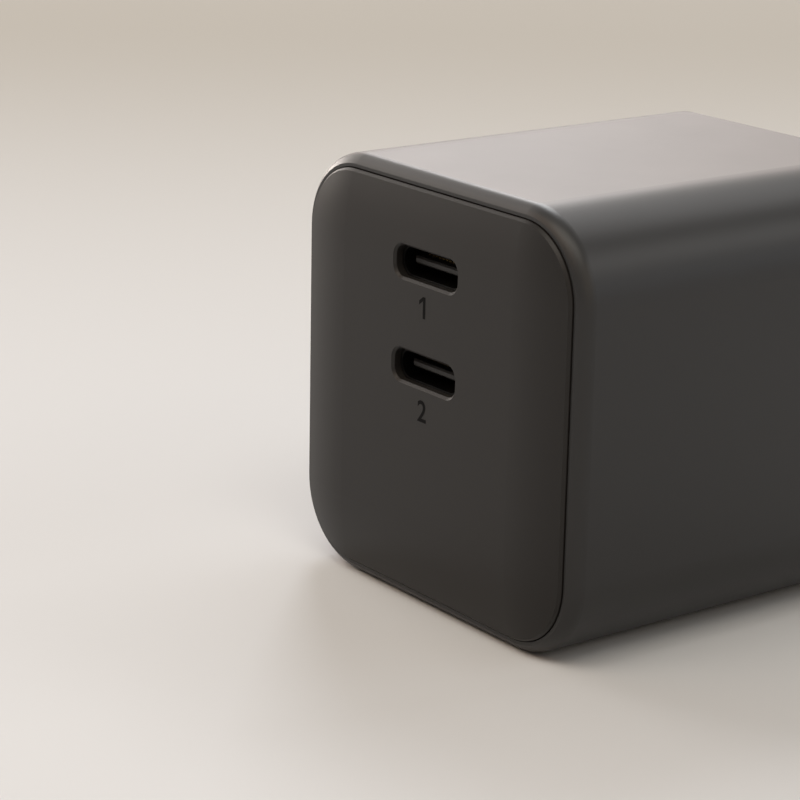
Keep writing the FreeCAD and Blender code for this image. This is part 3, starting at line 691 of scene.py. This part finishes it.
@dataclass
class Ports(Assembly):
    """Both receptacles: steel shells, moulded tongues and gold contacts."""

    finishes: dict[str, Finish] = field(
        default_factory=lambda: {
            "port_1_shell": PORT_STEEL,
            "port_2_shell": PORT_STEEL,
            "port_1_tongue": TONGUE_PLASTIC,
            "port_2_tongue": TONGUE_PLASTIC,
            "port_1_contacts": CONTACT_GOLD,
            "port_2_contacts": CONTACT_GOLD,
        }
    )


@dataclass
class Plug(Assembly):
    """Plug pins with their sleeves and the carrier that holds them."""

    finishes: dict[str, Finish] = field(
        default_factory=lambda: {
            "plug_pin_left": PIN_METAL,
            "plug_pin_right": PIN_METAL,
            "pin_sleeve_left": SLEEVE_PLASTIC,
            "pin_sleeve_right": SLEEVE_PLASTIC,
            "pin_carrier": CARRIER_PLASTIC,
        }
    )


@dataclass
class Electronics(Assembly):
    """Boards and components inside the casing."""

    finishes: dict[str, Finish] = field(
        default_factory=lambda: {
            "input_board": BOARD_MASK,
            "main_board": BOARD_MASK,
            "port_board": BOARD_MASK,
            "fuse": EPOXY,
            "bulk_capacitor_1": CAN_SLEEVE,
            "bulk_capacitor_2": CAN_SLEEVE,
            "output_capacitor_1": CAN_METAL,
            "output_capacitor_2": CAN_METAL,
            "x_capacitor": FILM_CASE,
            "y_capacitor": SAFETY_CASE,
            "choke_core": FERRITE,
            "choke_windings": COPPER_WIRE,
            "transformer_core_lower": FERRITE,
            "transformer_core_upper": FERRITE,
            "transformer_bobbin": CARRIER_PLASTIC,
            "transformer_winding": WINDING_TAPE,
            "bridge_rectifier": EPOXY,
            "primary_switch": EPOXY,
            "sync_rectifier": EPOXY,
            "thermal_pad": SOFT_PAD,
            "heat_spreader": SPREADER_METAL,
            "optocoupler": EPOXY,
            "barrier_sheet": BARRIER_FILM,
            "inductor_1": EPOXY,
            "inductor_2": EPOXY,
            "charge_controller": EPOXY,
        }
    )


@dataclass
class Floor:
    """Pale paper floor that fills the picture, with painted light: lighter around the adapter and
    darker away from the camera, a painted pool of light and its falloff.

    Attributes:
        half_size: Half of the floor's side.
        drop: Depth of the floor below the adapter, which keeps their faces apart.
        near: Colour of the paper around the adapter, in linear light, painted lighter as a pool of
            light.
        far: Colour of the paper far behind it, a painted shade where the light falls off.
        away: Level direction from the camera to the adapter.
        fade_start: Distance behind the adapter where the painted falloff of light begins to darken
            the paper.
        fade_end: Distance where the painted falloff ends and the paper has its far colour.
        roughness: Roughness of the paper.
        specular: Specular level of the paper.
    """

    half_size: float = 3.0
    drop: float = 0.00002
    # Painted light: the paper's colour carries a pool of light around the adapter and its falloff
    # behind it.
    near: Colour = (0.755, 0.775, 0.80)
    far: Colour = (0.485, 0.470, 0.436)
    away: Triple = (-0.801, 0.599, 0.0)
    fade_start: float = 0.0
    fade_end: float = 0.34
    roughness: float = 0.6
    specular: float = 0.0

    def build(self) -> bpy.types.Object:
        """Lay the floor.

        Returns:
            The floor's object.
        """
        shape = bmesh.new()
        bmesh.ops.create_grid(shape, x_segments=1, y_segments=1, size=self.half_size)
        bmesh.ops.translate(shape, verts=shape.verts, vec=(0.0, 0.0, -self.drop))
        mesh = bpy.data.meshes.new("floor")
        shape.to_mesh(mesh)
        shape.free()
        floor = bpy.data.objects.new("floor", mesh)
        bpy.context.scene.collection.objects.link(floor)
        floor.data.materials.append(self.paper())
        return floor

    def paper(self) -> bpy.types.Material:
        """Build the paper's material, with its painted pool of light.

        Returns:
            The material.
        """
        material = bpy.data.materials.new("floor_paper")
        material.use_nodes = True
        sheet = NodeSheet(material.node_tree)
        shader = material.node_tree.nodes["Principled BSDF"]
        shader.inputs["Roughness"].default_value = self.roughness
        shader.inputs["Specular IOR Level"].default_value = self.specular
        place = sheet.add("ShaderNodeTexCoord")
        along = sheet.add("ShaderNodeVectorMath")
        along.operation = "DOT_PRODUCT"
        along.inputs[1].default_value = self.away
        painted_falloff = sheet.add("ShaderNodeMapRange", From_Min=self.fade_start, From_Max=self.fade_end)
        painted_falloff.interpolation_type = "SMOOTHSTEP"
        sheet.join(place.outputs["Object"], along.inputs[0])
        sheet.join(along.outputs["Value"], painted_falloff.inputs["Value"])
        # Painted light: blend from the lit colour around the adapter to the painted shade behind
        # it.
        colour = sheet.blend(painted_falloff.outputs["Result"], self.near, self.far)
        sheet.join(colour, shader.inputs["Base Color"])
        return material


@dataclass(frozen=True)
class Softbox:
    """One rectangular light that faces the adapter.

    Attributes:
        name: Name of the light.
        azimuth: Bearing in degrees, 0 in front of the ports and 90 on the right.
        elevation: Height above the floor in degrees.
        width: Angle in degrees that the box spans from side to side.
        height: Angle in degrees that the box spans upwards.
        level: Brightness of the box's face.
        colour: Colour of the light.
        distance: Distance from the aim.
    """

    name: str
    azimuth: float
    elevation: float
    width: float
    height: float
    level: float
    colour: Colour
    distance: float = 2.0

    def span(self, angle: float) -> float:
        """Return the length that fills an angle in degrees at the box's distance."""
        return 2.0 * self.distance * math.tan(math.radians(angle) / 2.0)

    def build(self, aim: Vector) -> bpy.types.Object:
        """Place the light.

        Args:
            aim: Point that the light faces.

        Returns:
            The light's object.
        """
        lamp = bpy.data.lights.new(self.name, "AREA")
        lamp.shape = "RECTANGLE"
        lamp.size = self.span(self.width)
        lamp.size_y = self.span(self.height)
        lamp.energy = math.pi * lamp.size * lamp.size_y * self.level
        lamp.color = self.colour
        away = bearing(self.azimuth, self.elevation)
        box = bpy.data.objects.new(self.name, lamp)
        box.location = aim + away * self.distance
        box.rotation_euler = away.to_track_quat("Z", "Y").to_euler()
        bpy.context.scene.collection.objects.link(box)
        return box


@dataclass
class Studio:
    """Soft boxes and the pale room around them.

    Attributes:
        aim: Point that the boxes face.
        room: Colour of the room, which is seen and mirrored but casts no light.
        boxes: The soft boxes.
    """

    aim: Vector = field(default_factory=lambda: Vector((0.0, 0.0, 0.02)))
    room: Colour = (0.46, 0.45, 0.44)
    boxes: tuple[Softbox, ...] = (
        Softbox(
            "key_box", azimuth=234.0, elevation=40.0,
            width=12.0, height=34.0, level=7.5, colour=(0.97, 0.98, 1.0),
        ),
        Softbox(
            "back_left_box", azimuth=233.0, elevation=16.0,
            width=40.0, height=22.0, level=1.95, colour=(1.0, 0.84, 0.75),
        ),
        Softbox(
            "left_box", azimuth=275.0, elevation=21.0,
            width=36.0, height=34.0, level=2.7, colour=(1.0, 0.92, 0.86),
        ),
        Softbox(
            "low_left_box", azimuth=275.0, elevation=7.0,
            width=36.0, height=12.0, level=9.0, colour=(1.0, 0.90, 0.82),
        ),
        Softbox(
            "back_right_box", azimuth=134.0, elevation=31.0,
            width=40.0, height=16.0, level=2.0, colour=(1.0, 0.98, 0.96),
        ),
        Softbox(
            "low_right_box", azimuth=132.0, elevation=9.0,
            width=44.0, height=12.0, level=0.8, colour=(0.82, 0.90, 1.0),
        ),
        Softbox(
            "high_back_box", azimuth=201.0, elevation=49.0,
            width=44.0, height=13.0, level=3.2, colour=(1.0, 0.98, 0.97),
        ),
        Softbox(
            "high_front_box", azimuth=350.0, elevation=46.0,
            width=70.0, height=18.0, level=1.5, colour=(1.0, 0.68, 0.46),
        ),
        Softbox(
            "right_box", azimuth=85.0, elevation=22.0,
            width=50.0, height=36.0, level=0.6, colour=(1.0, 0.78, 0.54),
        ),
        Softbox(
            "top_box", azimuth=30.0, elevation=64.0,
            width=60.0, height=26.0, level=2.8, colour=(1.0, 0.95, 0.85),
        ),
    )

    def build(self) -> None:
        """Light the scene."""
        world = bpy.data.worlds.new("room")
        world.use_nodes = True
        sheet = NodeSheet(world.node_tree)
        rays = sheet.add("ShaderNodeLightPath").outputs
        mirrored = sheet.maths("MAXIMUM", rays["Is Glossy Ray"], rays["Is Transmission Ray"])
        seen = sheet.maths("MAXIMUM", rays["Is Camera Ray"], mirrored)
        background = world.node_tree.nodes["Background"]
        background.inputs["Color"].default_value = (*self.room, 1.0)
        sheet.join(seen, background.inputs["Strength"])
        bpy.context.scene.world = world
        for box in self.boxes:
            box.build(self.aim)
            LOG.info("%s lit", box.name)


@dataclass
class PhotoCamera:
    """Camera at the photograph's place and angle.

    Attributes:
        place: Position of the camera.
        azimuth: Bearing of the camera in degrees.
        elevation: Angle by which it looks down, in degrees.
        roll: Turn about its own axis in degrees.
        lens: Focal length in millimetres.
        sensor: Width of the sensor in millimetres.
        nearest: Distance at which the view begins.
        farthest: Distance at which it ends.
    """

    place: Triple = (0.181770, -0.160579, 0.088247)
    azimuth: float = 53.18856
    elevation: float = 16.61635
    roll: float = 1.15322
    lens: float = 120.84
    sensor: float = 36.0
    nearest: float = 0.005
    farthest: float = 20.0

    def build(self) -> bpy.types.Object:
        """Set up the camera.

        Returns:
            The camera's object, set as the scene's camera.
        """
        data = bpy.data.cameras.new("photo_camera")
        data.sensor_width = self.sensor
        data.lens = self.lens
        data.clip_start = self.nearest
        data.clip_end = self.farthest
        back = bearing(self.azimuth, self.elevation)
        right = bearing(self.azimuth + QUARTER_TURN, 0.0)
        level = Matrix((right, back.cross(right), back)).transposed().to_4x4()
        camera = bpy.data.objects.new("photo_camera", data)
        rolled = level @ Matrix.Rotation(math.radians(self.roll), 4, "Z")
        camera.matrix_world = Matrix.Translation(self.place) @ rolled
        bpy.context.scene.collection.objects.link(camera)
        bpy.context.scene.camera = camera
        return camera


def main() -> None:
    """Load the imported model, dress it, and set the stage, light and camera."""
    logging.basicConfig(level=logging.INFO, format="%(message)s")
    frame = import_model()
    bpy.context.scene.view_settings.view_transform = "Standard"
    effects = Effects()
    made: dict[str, bpy.types.Material] = {}
    casing = Casing(frame)
    for assembly in (casing, Ports(frame), Plug(frame), Electronics(frame)):
        assembly.dress(effects, made)
    casing.print_numerals(effects)
    Floor().build()
    Studio().build()
    PhotoCamera().build()


if __name__ == "__main__":
    main()
